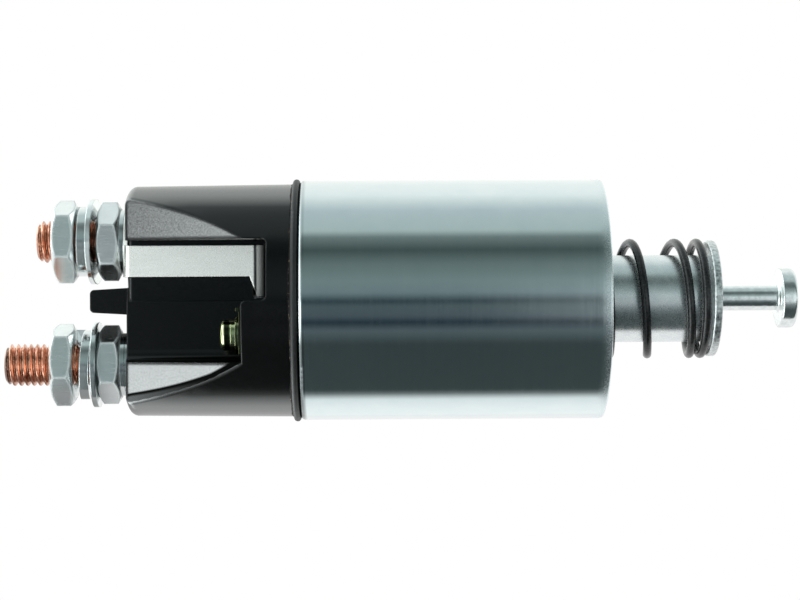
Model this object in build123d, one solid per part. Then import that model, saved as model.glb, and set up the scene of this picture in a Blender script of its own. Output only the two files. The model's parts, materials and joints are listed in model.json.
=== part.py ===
from build123d import *
import math
import os

# A starter solenoid at rest, with its plunger out. All lengths are in millimetres.
# The X axis is the plunger's axis, and +X points outward along the plunger.
# X = 0 is the can's front face, which is bolted to the starter. +Z is up.
# Most places are worked out from the front face inward, so they have a negative X.

# Fits between pieces
slip = 0.05
running = 0.10
stop_gap = 0.10

# Can: a cold-formed steel cup, with its rear rim rolled over the cap's flange
can_radius = 28.0
can_length = 70.3
can_wall = 3.0
can_front_wall = 10.0
can_front_round = 0.5
rim_wall = 1.3
rim_round = 1.1
lip_thickness = 1.2
lip_depth = 1.1
spring_pocket_depth = 7.0
spring_pocket_room = 0.9

# Tapped mounting holes in the can's front face, M6, drawn at the thread's inner diameter
mount_hole_radius = 2.5
mount_hole_spacing = 41.0
mount_hole_depth = 8.0

# Plunger, with a recess at its rear that takes the core's nose
plunger_radius = 10.2
plunger_length = 57.7
plunger_reach = 24.8
plunger_stroke = 12.0
plunger_bore_radius = 6.0
plunger_bore_depth = 30.8
nose_base_radius = 8.4
nose_tip_radius = 4.6
nose_length = 5.0

# Spring seat disc staked on the plunger's front end
seat_radius = 13.6
seat_thickness = 2.0
seat_round = 0.5
spigot_radius = 8.0

# Springs: wire radius, mean coil radius, turns, and the pitch of their closed ends
return_wire_radius = 1.0
return_coil_radius = 13.1
return_turns = 5.2
return_end_pitch = 1.0
return_end_turn = 3.75
meshing_wire_radius = 0.75
meshing_turns = 5.5
meshing_end_pitch = 1.1
pressure_wire_radius = 0.45
pressure_coil_radius = 3.6
pressure_turns = 5.0
pressure_end_pitch = 0.75
contact_wire_radius = 0.30
contact_coil_radius = 3.7
contact_turns = 4.0
contact_end_pitch = 0.5
spring_points_per_turn = 12

# Hook rod, with the head that the shift lever's fork pulls on
rod_radius = 2.9
rod_tail_radius = 2.4
rod_travel = 5.0
fork_groove_length = 15.2
rod_head_radius = 7.0
rod_head_thickness = 3.6
rod_head_round = 1.0
rod_collar_thickness = 3.0
guide_bush_length = 6.0

# Coil
sleeve_wall = 0.8
bobbin_wall = 1.2
bobbin_flange = 1.6
bobbin_rim_gap = 0.3
pull_in_share = 0.5
coil_rim_inset = 1.2
wrap_thickness = 0.45
lead_radius = 0.8
bushing_wall = 0.9
ground_lead_depth = 3.0
ground_lead_angle = 35.0

# Pole plate and fixed core
pole_plate_thickness = 5.5
core_spigot_radius = 8.0

# Contact shaft with its sleeve, bridge and insulators
shaft_radius = 2.5
contact_travel = 4.0
contact_overtravel = 1.0
touch_gap = 0.05
bridge_thickness = 2.5
bridge_width = 9.0
bridge_end_reach = 4.7
insulator_flange_radius = 4.8
insulator_flange_thickness = 1.5
insulator_tube_wall = 1.0
pressure_spring_length = 9.0
shaft_sleeve_radius = 4.2
clip_radius = 4.4
clip_thickness = 0.8
clip_groove_depth = 0.4
shaft_end_length = 0.8

# Cap: a black moulding with a sloping facet, and a channel sunk into the facet
cap_flange_thickness = 3.3
cap_length = 38.2
cap_root_inset = 0.8
cap_tip_inset = 1.2
cap_edge_round = 2.0
cap_root_round = 0.3
gasket_thickness = 1.5
gasket_proud = 0.35
gasket_round = 0.7
cap_neck_wall = 2.7
cap_end_wall = 5.0
chamber_room = 0.9
chamber_front = 5.2
shaft_pocket_radius = 5.0
shaft_pocket_depth = 3.0
facet_depth = 12.4
facet_slope = 21.5
facet_round = 1.0
channel_half_height = 13.9
strip_floor = 7.5
screw_floor = 9.5
screw_channel_length = 27.2
strip_channel_step = 5.6
channel_end_wall = 3.2
channel_floor_round = 2.8
channel_corner_round = 1.2
strip_floor_edge_round = 1.0
tab_length = 8.75
tab_tip_height = 5.2
tab_root_height = 6.2
tab_front = 7.0
tab_back = 14.0
tab_round = 1.0

# Studs: M10 copper, drawn at the thread's outer diameter
stud_radius = 5.0
stud_free_radius = 4.8
stud_tip_chamfer = 1.0
motor_stud_z = 14.0
battery_stud_z = -14.8
motor_stud_reach = 21.5
battery_stud_reach = 29.1
stud_head_width = 10.0
stud_head_height = 13.0
stud_head_thickness = 4.0
stud_head_round = 1.0
stud_seal_wall = 1.3
stud_seal_thickness = 1.8

# Nuts and washers on the studs, in their order from the cap outward
stack_bore_gap = 0.10
base_washer_radius = 7.4
base_washer_thickness = 1.1
inner_nut_flats = 16.0
inner_nut_thickness = 5.2
large_washer_radius = 10.0
large_washer_thickness = 1.2
large_washer_bore_gap = 0.25
large_washer_tilts = (3.0, 0.0)
lock_washer_radius = 8.15
lock_washer_thickness = 2.1
lock_washer_rises = (0.6, 2.1)
lock_washer_gap_angle = 8.0
outer_nut_flats = 17.0
outer_nut_thickness = 5.2
outer_nut_gap = 0.15
nut_bevel_share = 0.95
nut_bevel_slope = 30.0
nut_countersink = 0.6
inner_nut_angles = (24.3, 34.8)
outer_nut_angles = (37.6, 43.8)

# Link strip from the motor stud to the pull-in winding
strip_thickness = 1.0
strip_top_z = 12.8
strip_width = 7.2
strip_flare_bottom_z = 1.0
strip_flare_lead = 0.9
strip_flare_length = 1.8
strip_corner_radius = 1.0
strip_bend_radius = 2.0
strip_end_gap = 1.2
strip_slot_gap = 0.2
strip_slot_below = 0.4
strip_tongue_depth = 3.5
strip_tongue_bottom_z = 7.0
strip_ring_radius = 7.4

# Switch terminal: a screw with its washers on a small plate, in a threaded insert
switch_y = -17.0
switch_z = -7.8
switch_screw_radius = 2.0
switch_head_radius = 3.5
switch_head_thickness = 2.4
switch_head_round = 1.0
switch_screw_length = 8.0
switch_washer_radius = 4.3
switch_washer_thickness = 0.8
switch_lock_radius = 3.5
switch_lock_thickness = 1.0
switch_plate_thickness = 0.8
switch_plate_half_width = 3.6
switch_plate_above = 6.2
switch_plate_below = 4.2
switch_plate_lip = 0.7
switch_insert_radius = 3.6
switch_insert_floor = 1.5

# Places along the axis, from the front face inward
front_x = 0.0
rear_x = front_x - can_length
lip_x = rear_x + lip_thickness
pole_back_x = lip_x + cap_flange_thickness
pole_seat_x = pole_back_x + pole_plate_thickness
inner_wall_x = front_x - can_front_wall
pocket_floor_x = front_x - spring_pocket_depth

plunger_shoulder_x = front_x + plunger_reach
plunger_front_x = plunger_shoulder_x + seat_thickness
plunger_rear_x = plunger_shoulder_x - plunger_length
recess_floor_x = plunger_rear_x + nose_length
bore_floor_x = plunger_front_x - plunger_bore_depth
core_face_x = plunger_rear_x - plunger_stroke - stop_gap
nose_tip_x = core_face_x + nose_length

rod_rear_x = bore_floor_x + stop_gap
rod_collar_front_x = rod_rear_x + rod_collar_thickness
bush_inner_x = plunger_front_x - guide_bush_length
rod_head_x = plunger_front_x + fork_groove_length

cap_root_x = rear_x - gasket_thickness
cap_end_x = cap_root_x - cap_length
chamber_end_x = cap_end_x + cap_end_wall
pocket_end_x = chamber_end_x - shaft_pocket_depth
screw_wall_x = cap_end_x + screw_channel_length
strip_channel_x = screw_wall_x + strip_channel_step
relief_floor_x = strip_channel_x + channel_end_wall

stud_face_x = chamber_end_x + stud_head_thickness
bridge_low_x = stud_face_x + contact_travel - contact_overtravel + touch_gap
bridge_high_x = bridge_low_x + bridge_thickness
insulator_high_x = bridge_high_x + insulator_flange_thickness
insulator_low_x = bridge_low_x - insulator_flange_thickness
shaft_sleeve_low_x = insulator_high_x + pressure_spring_length
shaft_sleeve_high_x = pole_back_x - stop_gap
clip_high_x = insulator_low_x - slip
clip_low_x = clip_high_x - clip_thickness
shaft_low_x = clip_low_x - shaft_end_length
shaft_high_x = recess_floor_x - (plunger_stroke - contact_travel) - stop_gap

# Radii that follow from the fits
can_bore = can_radius - can_wall
rim_bore = can_radius - rim_wall
lip_bore = rim_bore - lip_depth
sleeve_bore = plunger_radius + running
sleeve_radius = sleeve_bore + sleeve_wall
core_radius = sleeve_bore - slip
bobbin_bore = sleeve_radius + slip
bobbin_radius = bobbin_bore + bobbin_wall
bobbin_flange_radius = can_bore - bobbin_rim_gap
wrap_radius = bobbin_flange_radius - coil_rim_inset
hold_in_radius = wrap_radius - wrap_thickness - slip
pull_in_bore = bobbin_radius + slip
pull_in_radius = pull_in_bore + pull_in_share * (hold_in_radius - pull_in_bore)
spring_pocket_radius = return_coil_radius + return_wire_radius + spring_pocket_room
cap_neck_radius = lip_bore - running
cap_root_radius = can_radius - cap_root_inset
cap_tip_radius = can_radius - cap_tip_inset
relief_radius = cap_neck_radius - cap_neck_wall
stud_head_reach = math.hypot(max(motor_stud_z, -battery_stud_z) + stud_head_height / 2, stud_head_width / 2)
chamber_radius = stud_head_reach + chamber_room
bushing_radius = lead_radius + slip + bushing_wall
insulator_bore = shaft_radius + running
insulator_tube_radius = insulator_bore + insulator_tube_wall
stud_hole_radius = stud_radius + slip
stack_bore = stud_radius + stack_bore_gap
stud_seal_radius = stud_hole_radius + stud_seal_wall

# Places of the three leads, and the strip's tongue that one of them meets
strip_bottom_z = strip_top_z - strip_width
strip_face = strip_floor + strip_thickness
pull_in_lead_yz = (-strip_tongue_depth - lead_radius, strip_top_z - lead_radius - running)
switch_lead_yz = (switch_y, switch_z)
ground_lead_r = (pull_in_radius + hold_in_radius) / 2
ground_lead_yz = (
    ground_lead_r * math.cos(math.radians(ground_lead_angle)),
    -ground_lead_r * math.sin(math.radians(ground_lead_angle)),
)
strip_leg_x = strip_channel_x - strip_end_gap
strip_bend_x = strip_leg_x - strip_thickness / 2 - strip_bend_radius
strip_flare_x = strip_bend_x - strip_flare_lead

# Places of the nuts and washers, the same on both studs up to the outer nut
base_low_x = cap_end_x - strip_thickness
base_high_x = base_low_x - base_washer_thickness
inner_nut_x = base_high_x - inner_nut_thickness
large_washer_xs = []
lock_washer_xs = []
outer_nut_xs = []
for tilt, lock_rise in zip(large_washer_tilts, lock_washer_rises):
    lean = math.sin(math.radians(tilt))
    half_thickness = large_washer_thickness / 2 * math.cos(math.radians(tilt))
    washer_x = inner_nut_x - slip - large_washer_radius * lean - half_thickness
    lock_high_x = washer_x - half_thickness - lock_washer_radius * lean - slip
    lock_low_x = lock_high_x - lock_washer_thickness - lock_rise
    large_washer_xs.append(washer_x)
    lock_washer_xs.append(lock_low_x)
    outer_nut_xs.append(lock_low_x - outer_nut_gap - outer_nut_thickness)
stud_zs = (motor_stud_z, battery_stud_z)


def across(x, y=0.0, z=0.0):
    """Plane square to the axis, with its own x along +Y and its own y along +Z."""
    return Plane((x, y, z), x_dir=(0, 1, 0), z_dir=(1, 0, 0))


def bar(x_low, x_high, radius, y=0.0, z=0.0):
    """Solid cylinder along X."""
    ends = (Align.CENTER, Align.CENTER, Align.MIN)
    return across(x_low, y, z) * Cylinder(radius, x_high - x_low, align=ends)


def tube(x_low, x_high, bore, radius, y=0.0, z=0.0):
    """Hollow cylinder along X."""
    return bar(x_low, x_high, radius, y, z) - bar(x_low, x_high, bore, y, z)


def block(low, high):
    """Box between two corners."""
    centre = [(a + b) / 2 for a, b in zip(low, high)]
    size = [b - a for a, b in zip(low, high)]
    return Pos(*centre) * Box(*size)


def rounded_outline(corners, rounds):
    """Flat face from its corners, with some of them rounded: {corner number: radius}."""
    face = make_face(Polyline(*corners, close=True))
    for number, radius in rounds.items():
        corner = face.vertices().sort_by_distance(corners[number])[0]
        face = fillet(corner, radius)
    return face


def turned(corners, rounds=None, y=0.0, z=0.0):
    """Solid turned about a line along X, from corners given as x and radius."""
    return Pos(0, y, z) * revolve(rounded_outline(corners, rounds or {}), Axis.X)


def coil_spring(x_low, x_high, coil_radius, wire_radius, turns, end_pitch, end_turn=0.0):
    """Spring between two seats, open in the middle and closing towards both ends.

    Whole turns are at the top, and end_turn is where the wire ends at the high seat.
    """
    first_x = x_low + wire_radius + slip
    last_x = x_high - wire_radius - slip
    half = turns / 2
    middle_pitch = end_pitch + 2 * (last_x - first_x - turns * end_pitch) / turns

    def rise(turn):
        share = turn / half
        return end_pitch * turn + (middle_pitch - end_pitch) * half * (share**3 - share**4 / 2)

    points = []
    count = round(turns * spring_points_per_turn)
    for number in range(count + 1):
        turn = turns * number / count
        x = first_x + rise(turn) if turn < half else last_x - rise(turns - turn)
        angle = 2 * math.pi * (end_turn - turns + turn)
        points.append((x, -coil_radius * math.sin(angle), coil_radius * math.cos(angle)))
    path = Spline(*points)
    section = Plane(origin=path @ 0, z_dir=path % 0) * Circle(wire_radius)
    return sweep(section, path=path)


def split_washer(x_low, rise, z):
    """Spring washer: one turn of flat wire, split at its top, with its ends offset by the rise."""
    middle = (stack_bore + lock_washer_radius) / 2
    width = lock_washer_radius - stack_bore
    share = 1 - lock_washer_gap_angle / 360
    helix = Helix(pitch=rise / share, height=rise, radius=middle, lefthand=True)
    path = across(x_low + lock_washer_thickness / 2, 0, z) * Rot(0, 0, 90) * helix
    start = path @ 0
    outward = Vector(0, start.Y, start.Z - z)
    section = Plane(origin=start, x_dir=outward, z_dir=path % 0)
    return sweep(section * Rectangle(width, lock_washer_thickness), path=path, is_frenet=True)


def hex_nut(x_low, thickness, flats, angle, z):
    """Hexagon nut, bevelled on both faces, with one corner at an angle above the -Y side."""
    corner = flats / 2 / math.cos(math.radians(30))
    face_radius = flats / 2 * nut_bevel_share
    bevel = (corner - face_radius) * math.tan(math.radians(nut_bevel_slope))
    hexagon = Rot(0, 0, 180 - angle) * RegularPolygon(corner, 6)
    prism = extrude(across(x_low, 0, z) * hexagon, thickness)
    x_high = x_low + thickness
    mouth = stack_bore + nut_countersink
    crown = turned(
        [
            (x_low, mouth),
            (x_low, face_radius),
            (x_low + bevel, corner),
            (x_high - bevel, corner),
            (x_high, face_radius),
            (x_high, mouth),
            (x_high - nut_countersink, stack_bore),
            (x_low + nut_countersink, stack_bore),
        ],
        z=z,
    )
    return prism & crown


def make_can():
    """Steel can with its spring pocket, blind tapped holes and rolled rim."""
    shell = turned(
        [
            (front_x, can_radius),
            (rear_x, can_radius),
            (rear_x, lip_bore),
            (lip_x, lip_bore),
            (lip_x, rim_bore),
            (pole_seat_x, rim_bore),
            (pole_seat_x, can_bore),
            (inner_wall_x, can_bore),
            (inner_wall_x, sleeve_radius + slip),
            (pocket_floor_x, sleeve_radius + slip),
            (pocket_floor_x, spring_pocket_radius),
            (front_x, spring_pocket_radius),
        ],
        {0: can_front_round, 1: rim_round},
    )
    for side in (-1, 1):
        y = side * mount_hole_spacing / 2
        shell -= bar(front_x - mount_hole_depth, front_x, mount_hole_radius, y)
    return shell


def make_guide_sleeve():
    """Thin brass tube that the plunger slides in."""
    return tube(pole_seat_x, pocket_floor_x, sleeve_bore, sleeve_radius)


def make_bobbin():
    """Moulded bobbin, with a hole in its rear flange for each lead."""
    spool = turned(
        [
            (inner_wall_x, bobbin_bore),
            (inner_wall_x, bobbin_flange_radius),
            (inner_wall_x - bobbin_flange, bobbin_flange_radius),
            (inner_wall_x - bobbin_flange, bobbin_radius),
            (pole_seat_x + bobbin_flange, bobbin_radius),
            (pole_seat_x + bobbin_flange, bobbin_flange_radius),
            (pole_seat_x, bobbin_flange_radius),
            (pole_seat_x, bobbin_bore),
        ]
    )
    for y, z in (pull_in_lead_yz, switch_lead_yz, ground_lead_yz):
        spool -= bar(pole_seat_x, pole_seat_x + bobbin_flange, lead_radius + slip, y, z)
    return spool


def winding(bore, radius):
    """Ring that fills the bobbin between its flanges."""
    x_low = pole_seat_x + bobbin_flange + slip
    x_high = inner_wall_x - bobbin_flange - slip
    return tube(x_low, x_high, bore, radius)


def make_pole_plate():
    """Steel plate behind the coil, holed for the core and for the leads."""
    plate = tube(pole_back_x, pole_seat_x, core_spigot_radius + slip, rim_bore - running)
    for y, z in (pull_in_lead_yz, switch_lead_yz):
        plate -= bar(pole_back_x, pole_seat_x, bushing_radius + slip, y, z)
    y, z = ground_lead_yz
    plate -= bar(pole_seat_x - ground_lead_depth, pole_seat_x, lead_radius + slip, y, z)
    return plate


def make_fixed_core():
    """Core with a conical nose, staked in the pole plate and bored for the shaft."""
    bore = shaft_radius + running
    return turned(
        [
            (nose_tip_x, bore),
            (nose_tip_x, nose_tip_radius),
            (core_face_x, nose_base_radius),
            (core_face_x, core_radius),
            (pole_seat_x, core_radius),
            (pole_seat_x, core_spigot_radius),
            (pole_back_x, core_spigot_radius),
            (pole_back_x, bore),
        ]
    )


def lead(x_low, place):
    """Straight lead that leaves the rear of a winding."""
    return bar(x_low, pole_seat_x + bobbin_flange, lead_radius, *place)


def make_lead_bushings():
    """Insulating tubes round the two leads that pass the pole plate."""
    places = (pull_in_lead_yz, switch_lead_yz)
    bushings = [tube(pole_back_x, pole_seat_x, lead_radius + slip, bushing_radius, *p) for p in places]
    return Compound(children=bushings)


def make_gasket():
    """Rubber ring between the can's rim and the cap, slightly proud of the can."""
    outer = can_radius + gasket_proud
    inner = cap_neck_radius + slip
    corners = [(cap_root_x, inner), (cap_root_x, outer), (rear_x, outer), (rear_x, inner)]
    return turned(corners, {1: gasket_round, 2: gasket_round})


def cap_blank():
    """Turned outside of the cap, cut by the sloping facet."""
    blank = turned(
        [
            (pole_back_x, 0),
            (pole_back_x, rim_bore - running),
            (lip_x, rim_bore - running),
            (lip_x, cap_neck_radius),
            (cap_root_x, cap_neck_radius),
            (cap_root_x, cap_root_radius),
            (cap_end_x, cap_tip_radius),
            (cap_end_x, 0),
        ],
        {5: cap_root_round, 6: cap_edge_round},
    )
    slope = math.radians(facet_slope)
    outward = Vector(-math.sin(slope), -math.cos(slope), 0)
    facet = Plane((cap_end_x, -facet_depth, 0), x_dir=(0, 0, 1), z_dir=outward)
    reach = can_radius
    root = blank & block((screw_wall_x, -reach, -reach), (pole_back_x, reach, reach))
    tip = blank & block((cap_end_x, -reach, -reach), (screw_wall_x, reach, reach))
    tip = split(tip, bisect_by=facet, keep=Keep.BOTTOM)
    face = tip.faces().filter_by(GeomType.PLANE).sort_by(lambda f: f.normal_at().dot(outward))[-1]
    edges = face.edges().sort_by(Axis.X)[:-1]
    return fillet(edges, facet_round) + root


def cap_channel():
    """Space cut out of the facet: deep beside the strip, and shallower at the screw."""
    beyond = cap_end_x - cap_edge_round
    top = channel_half_height
    reach = cap_root_radius + cap_edge_round
    corners = [
        (beyond, -top),
        (screw_wall_x, -top),
        (screw_wall_x, 0),
        (strip_channel_x, 0),
        (strip_channel_x, top),
        (beyond, top),
    ]
    rounds = {number: channel_corner_round for number in (1, 2, 3, 4)}
    shallow = extrude(Plane.XZ.offset(screw_floor) * rounded_outline(corners, rounds), reach - screw_floor)
    section = [(-screw_floor, -top), (-screw_floor, top), (-reach, top), (-reach, -top)]
    trough = across(beyond) * rounded_outline(section, {0: channel_floor_round})
    shallow &= extrude(trough, strip_channel_x - beyond)
    corners = [(beyond, 0), (strip_channel_x, 0), (strip_channel_x, top), (beyond, top)]
    rounds = {number: channel_corner_round for number in (1, 2)}
    deep = extrude(Plane.XZ.offset(strip_floor) * rounded_outline(corners, rounds), reach - strip_floor)
    return shallow + deep


def cap_chamber():
    """Hollow behind the channel for the contacts, and its wider mouth at the can."""
    room = bar(chamber_end_x, relief_floor_x, chamber_radius)
    room &= block((chamber_end_x, -chamber_front, -can_radius), (relief_floor_x, can_radius, can_radius))
    room += bar(relief_floor_x, pole_back_x, relief_radius)
    room += bar(pocket_end_x, chamber_end_x, shaft_pocket_radius)
    return room


def barrier_tab():
    """Tab that stands out between the studs, thicker at its root."""
    tip_x = cap_end_x - tab_length
    root = tab_root_height / 2
    tip = tab_tip_height / 2
    corners = [(cap_end_x, -root), (tip_x, -tip), (tip_x, tip), (cap_end_x, root)]
    outline = rounded_outline(corners, {1: tab_round, 2: tab_round})
    return extrude(Plane.XZ.offset(-tab_back) * outline, tab_back + tab_front)


def make_cap():
    """Black moulded cap that carries the studs and the switch terminal."""
    cap = cap_blank() - cap_channel()
    floor_end = cap.edges().filter_by(Axis.Z).sort_by_distance((cap_end_x, -strip_floor, 0))[0]
    cap = fillet(floor_end, strip_floor_edge_round)
    cap += barrier_tab()
    cap -= cap_chamber()
    seal_floor_x = cap_end_x + stud_seal_thickness
    for z in stud_zs:
        cap -= bar(cap_end_x, chamber_end_x, stud_hole_radius, 0, z)
        cap -= bar(cap_end_x, seal_floor_x, stud_seal_radius + slip, 0, z)
    cap -= bar(screw_wall_x, relief_floor_x, switch_insert_radius + slip, switch_y, switch_z)
    slot_low = (strip_bend_x - slip, -strip_face, strip_flare_bottom_z - strip_slot_below)
    slot_high = (strip_leg_x + strip_slot_gap, 0, strip_top_z + slip)
    cap -= block(slot_low, slot_high)
    return cap


def make_stud(z, reach, nut_x):
    """Terminal stud: a square contact head inside the cap, and a thread that ends in a bevel."""
    tip_x = cap_end_x - reach
    head_low = (chamber_end_x, -stud_head_width / 2, z - stud_head_height / 2)
    head_high = (stud_face_x, stud_head_width / 2, z + stud_head_height / 2)
    head = block(head_low, head_high)
    head = fillet(head.edges().filter_by(Axis.X), stud_head_round)
    shank = turned(
        [
            (chamber_end_x, 0),
            (chamber_end_x, stud_radius),
            (nut_x, stud_radius),
            (nut_x, stud_free_radius),
            (tip_x + stud_tip_chamfer, stud_free_radius),
            (tip_x, stud_free_radius - stud_tip_chamfer),
            (tip_x, 0),
        ],
        z=z,
    )
    return head + shank


def make_stud_seals():
    """Rubber rings in the cap's end wall, one round each stud."""
    x_high = cap_end_x + stud_seal_thickness
    seals = [tube(cap_end_x, x_high, stud_radius + slip, stud_seal_radius, 0, z) for z in stud_zs]
    return Compound(children=seals)


def make_base_washers():
    """Washer under each inner nut, and a spacer where one stud has no link strip."""
    washers = [tube(base_high_x, base_low_x, stack_bore, base_washer_radius, 0, z) for z in stud_zs]
    washers.append(tube(base_low_x, cap_end_x, stack_bore, base_washer_radius, 0, battery_stud_z))
    return Compound(children=washers)


def make_inner_nuts():
    """Thin nuts that hold the studs in the cap."""
    nuts = [
        hex_nut(inner_nut_x, inner_nut_thickness, inner_nut_flats, angle, z)
        for angle, z in zip(inner_nut_angles, stud_zs)
    ]
    return Compound(children=nuts)


def make_outer_nuts():
    """Nuts that clamp a cable lug, left loose on the lock washers."""
    nuts = [
        hex_nut(x, outer_nut_thickness, outer_nut_flats, angle, z)
        for x, angle, z in zip(outer_nut_xs, outer_nut_angles, stud_zs)
    ]
    return Compound(children=nuts)


def make_large_washers():
    """Wide flat washers, of which the upper one leans on its stud."""
    half = large_washer_thickness / 2
    bore = stud_radius + large_washer_bore_gap
    washers = [
        Pos(x, 0, z) * Rot(0, 0, -tilt) * tube(-half, half, bore, large_washer_radius)
        for x, tilt, z in zip(large_washer_xs, large_washer_tilts, stud_zs)
    ]
    return Compound(children=washers)


def make_lock_washers():
    """Split spring washers, the upper one pressed and the lower one free."""
    washers = [split_washer(x, rise, z) for x, rise, z in zip(lock_washer_xs, lock_washer_rises, stud_zs)]
    return Compound(children=washers)


def make_link_strip():
    """Bent strip: a ring under the motor stud's washer, a run in the channel, and a tongue."""
    plate_x = cap_end_x - strip_thickness / 2
    run_y = -strip_floor - strip_thickness / 2
    leg_x = strip_leg_x - strip_thickness / 2
    top_z = motor_stud_z + strip_ring_radius
    path = FilletPolyline(
        (plate_x, strip_ring_radius),
        (plate_x, run_y),
        (leg_x, run_y),
        (leg_x, -strip_tongue_depth),
        radius=[strip_corner_radius, strip_bend_radius],
    )
    path = Pos(0, 0, (top_z + strip_flare_bottom_z) / 2) * path
    section = Plane(origin=path @ 0, x_dir=(0, 0, 1), z_dir=path % 0)
    sheet = sweep(section * Rectangle(top_z - strip_flare_bottom_z, strip_thickness), path=path)

    near = -strip_face - strip_thickness
    corner_x = cap_end_x + strip_corner_radius
    keep = bar(cap_end_x - 2 * strip_thickness, cap_end_x, strip_ring_radius, 0, motor_stud_z)
    keep += block((cap_end_x - 2 * strip_thickness, near, strip_bottom_z), (corner_x, 0, strip_top_z))
    outline = make_face(
        Polyline(
            (cap_end_x - 2 * strip_thickness, strip_bottom_z),
            (strip_flare_x, strip_bottom_z),
            (strip_flare_x + strip_flare_length, strip_flare_bottom_z),
            (strip_channel_x, strip_flare_bottom_z),
            (strip_channel_x, strip_top_z),
            (cap_end_x - 2 * strip_thickness, strip_top_z),
            close=True,
        )
    )
    keep += extrude(Plane.XZ.offset(strip_tongue_depth) * outline, -near - strip_tongue_depth)
    strip = sheet & keep
    strip -= bar(cap_end_x - 2 * strip_thickness, cap_end_x, stack_bore, 0, motor_stud_z)
    notch_low = (strip_bend_x, -chamber_front - slip, strip_flare_bottom_z)
    notch_high = (strip_channel_x, 0, strip_tongue_bottom_z)
    return strip - block(notch_low, notch_high)


def switch_places():
    """Places of the pieces on the switch screw, from the cap's wall outward."""
    plate_x = screw_wall_x - switch_plate_thickness
    washer_x = plate_x - switch_washer_thickness
    lock_x = washer_x - switch_lock_thickness
    return plate_x, washer_x, lock_x


def make_switch_plate():
    """Small plate behind the washers, bent up along its top edge."""
    plate_x = switch_places()[0]
    y_low = switch_y - switch_plate_half_width
    y_high = switch_y + switch_plate_half_width
    top_z = switch_z + switch_plate_above
    lip_z = top_z - switch_plate_thickness
    plate = block((plate_x, y_low, switch_z - switch_plate_below), (screw_wall_x, y_high, top_z))
    plate += block((plate_x - switch_plate_lip, y_low, lip_z), (screw_wall_x, y_high, top_z))
    return plate - bar(plate_x, screw_wall_x, switch_screw_radius + running, switch_y, switch_z)


def make_switch_washer():
    """Flat washer."""
    plate_x, washer_x, _ = switch_places()
    bore = switch_screw_radius + running
    return tube(washer_x, plate_x, bore, switch_washer_radius, switch_y, switch_z)


def make_switch_lock_washer():
    """Spring washer, drawn pressed flat."""
    _, washer_x, lock_x = switch_places()
    bore = switch_screw_radius + running
    return tube(lock_x, washer_x, bore, switch_lock_radius, switch_y, switch_z)


def make_switch_screw():
    """Screw with a round head."""
    lock_x = switch_places()[2]
    head_x = lock_x - switch_head_thickness
    corners = [
        (head_x, 0),
        (head_x, switch_head_radius),
        (lock_x, switch_head_radius),
        (lock_x, switch_screw_radius),
        (lock_x + switch_screw_length, switch_screw_radius),
        (lock_x + switch_screw_length, 0),
    ]
    return turned(corners, {1: switch_head_round}, switch_y, switch_z)


def make_switch_insert():
    """Threaded insert moulded into the cap, closed at its inner end."""
    insert = bar(screw_wall_x, relief_floor_x, switch_insert_radius, switch_y, switch_z)
    hole_end_x = relief_floor_x - switch_insert_floor
    hole = bar(screw_wall_x, hole_end_x, switch_screw_radius + slip, switch_y, switch_z)
    return insert - hole


def make_plunger():
    """Plunger with a bore for the meshing spring and a spigot for the seat disc."""
    return turned(
        [
            (recess_floor_x, 0),
            (recess_floor_x, nose_tip_radius),
            (plunger_rear_x, nose_base_radius),
            (plunger_rear_x, plunger_radius),
            (plunger_shoulder_x, plunger_radius),
            (plunger_shoulder_x, spigot_radius),
            (plunger_front_x, spigot_radius),
            (plunger_front_x, plunger_bore_radius),
            (bore_floor_x, plunger_bore_radius),
            (bore_floor_x, 0),
        ]
    )


def make_spring_seat():
    """Disc on the plunger's end that the return spring pushes on."""
    inner = spigot_radius + slip
    corners = [
        (plunger_shoulder_x, inner),
        (plunger_shoulder_x, seat_radius),
        (plunger_front_x, seat_radius),
        (plunger_front_x, inner),
    ]
    return turned(corners, {1: seat_round, 2: seat_round})


def make_guide_bush():
    """Bush that closes the plunger's bore and guides the rod."""
    return tube(bush_inner_x, plunger_front_x, rod_radius + running, plunger_bore_radius - slip)


def make_hook_rod():
    """Rod with its round head, and a thinner tail for the collar."""
    head_end_x = rod_head_x + rod_head_thickness
    corners = [
        (rod_rear_x, 0),
        (rod_rear_x, rod_tail_radius),
        (rod_collar_front_x, rod_tail_radius),
        (rod_collar_front_x, rod_radius),
        (rod_head_x, rod_radius),
        (rod_head_x, rod_head_radius),
        (head_end_x, rod_head_radius),
        (head_end_x, 0),
    ]
    return turned(corners, {6: rod_head_round, 5: rod_head_round / 3, 4: rod_head_round / 2})


def make_rod_collar():
    """Collar riveted on the rod's tail, which squeezes the meshing spring."""
    outer = plunger_bore_radius - running
    return tube(rod_rear_x, rod_collar_front_x, rod_tail_radius + slip, outer)


def make_contact_shaft():
    """Thin shaft through the core, with a groove for its clip."""
    groove = shaft_radius - clip_groove_depth
    return turned(
        [
            (shaft_high_x, 0),
            (shaft_high_x, shaft_radius),
            (clip_high_x, shaft_radius),
            (clip_high_x, groove),
            (clip_low_x, groove),
            (clip_low_x, shaft_radius),
            (shaft_low_x, shaft_radius),
            (shaft_low_x, 0),
        ]
    )


def make_contact_bridge():
    """Copper bar that joins the two studs when it is pushed on their heads."""
    half = bridge_width / 2
    low = (bridge_low_x, -half, battery_stud_z - bridge_end_reach)
    high = (bridge_high_x, half, motor_stud_z + bridge_end_reach)
    bridge = block(low, high)
    bridge = fillet(bridge.edges().filter_by(Axis.X), half / 3)
    return bridge - bar(bridge_low_x, bridge_high_x, insulator_tube_radius + slip)


def make_bridge_insulator():
    """Flanged tube that keeps the bridge off the shaft."""
    flange = bar(bridge_high_x, insulator_high_x, insulator_flange_radius)
    neck = bar(insulator_low_x, bridge_high_x, insulator_tube_radius)
    return flange + neck - bar(insulator_low_x, insulator_high_x, insulator_bore)


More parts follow.
